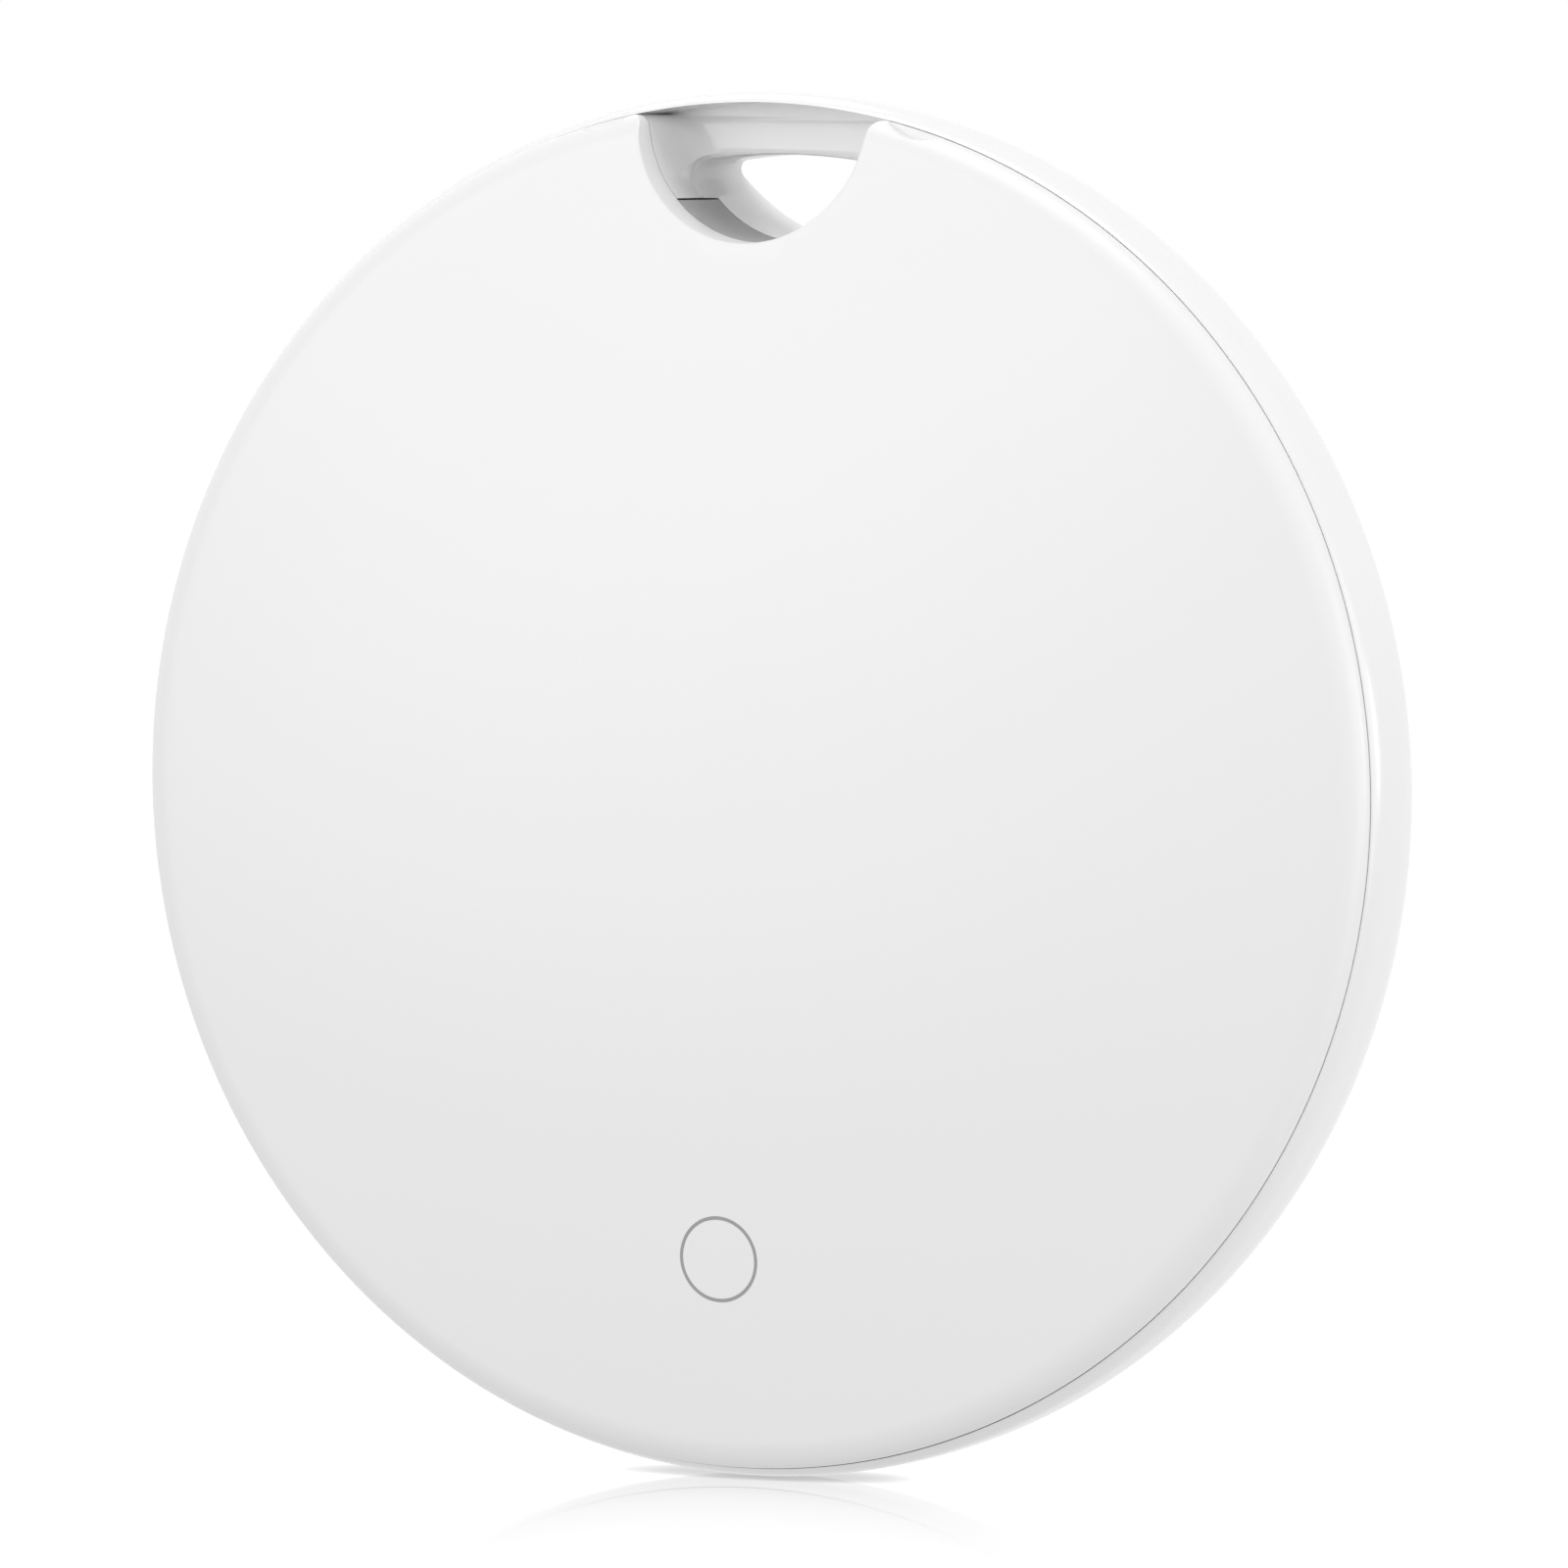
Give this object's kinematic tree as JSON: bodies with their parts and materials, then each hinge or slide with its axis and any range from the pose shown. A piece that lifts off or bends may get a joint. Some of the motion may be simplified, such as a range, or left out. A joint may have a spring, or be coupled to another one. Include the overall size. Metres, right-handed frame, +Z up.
{
  "type": "bluetooth tracker tag",
  "caption": "Round white tracker tag with a domed press-fit cover, a small push button, a strap hole at its rim and a coin cell inside.",
  "frame": {"origin": "centre of the tag's bounding box, on the disc's axis half way through its thickness", "axes": "+Z up towards the strap hole, +Y through the thickness towards the flat rear face, so the domed cover faces -Y; +X to the right seen from the front"},
  "size_m": [0.038, 0.0088, 0.038],
  "materials": {
    "cover_plastic": "fine satin-gloss white",
    "shell_plastic": "gloss white",
    "frame_plastic": "matt white-grey",
    "seal_rubber": "matt grey",
    "foam": "open-cell foam, black",
    "cell_steel": "nickel-plated, satin",
    "cell_polymer": "matt black",
    "cell_stack": "dull grey",
    "contact_gold": "gold-plated",
    "board_laminate": "green solder mask",
    "switch_black": "matt black",
    "steel": "bright",
    "chip_black": "satin black",
    "capacitor_ceramic": "tan",
    "antenna_ceramic": "white",
    "brass": "satin",
    "piezo_ceramic": "off-white"
  },
  "bodies": {
    "shell": {"rear_shell": "shell_plastic", "inner_frame": "frame_plastic", "positive_contact": "contact_gold", "negative_contact": "contact_gold", "circuit_board": "board_laminate", "switch_base": "switch_black", "switch_lid": "steel", "radio_chip": "chip_black", "crystal": "steel", "antenna": "antenna_ceramic", "capacitor_1": "capacitor_ceramic", "capacitor_2": "capacitor_ceramic", "capacitor_3": "capacitor_ceramic", "capacitor_4": "capacitor_ceramic", "inductor": "chip_black", "buzzer_plate": "brass", "buzzer_ceramic": "piezo_ceramic", "buzzer_tape": "foam", "buzzer_contact_plate": "contact_gold", "buzzer_contact_ceramic": "contact_gold", "frame_screw_1": "steel", "frame_screw_2": "steel", "frame_screw_3": "steel"},
    "cover": {"front_cover": "cover_plastic", "button_seal": "seal_rubber", "battery_foam_pad": "foam"},
    "button": {"button_cap": "cover_plastic"},
    "coin_cell": {"cell_can": "cell_steel", "cell_cap": "cell_steel", "cell_gasket": "cell_polymer", "cell_electrodes": "cell_stack"},
    "plunger": {"switch_plunger": "switch_black"}
  },
  "joints": [
    {"name": "cover_off", "type": "slide", "parent": "shell", "child": "cover", "axis": [0, -1, 0], "range_m": [0, 0.012]},
    {"name": "cell_out", "type": "slide", "parent": "shell", "child": "coin_cell", "axis": [0, -1, 0], "range_m": [0, 0.006]},
    {"name": "button_press", "type": "slide", "parent": "cover", "child": "button", "axis": [0, 1, 0], "range_m": [0, 0.00025], "stiffness_N_per_m": 800},
    {"name": "plunger_press", "type": "slide", "parent": "shell", "child": "plunger", "axis": [0, 1, 0], "range_m": [0, 0.0002]}
  ],
  "couplings": [
    {"joint": "cell_out", "follows": "cover_off", "ratio": 0.5},
    {"joint": "plunger_press", "follows": "button_press", "ratio": 0.8}
  ]
}
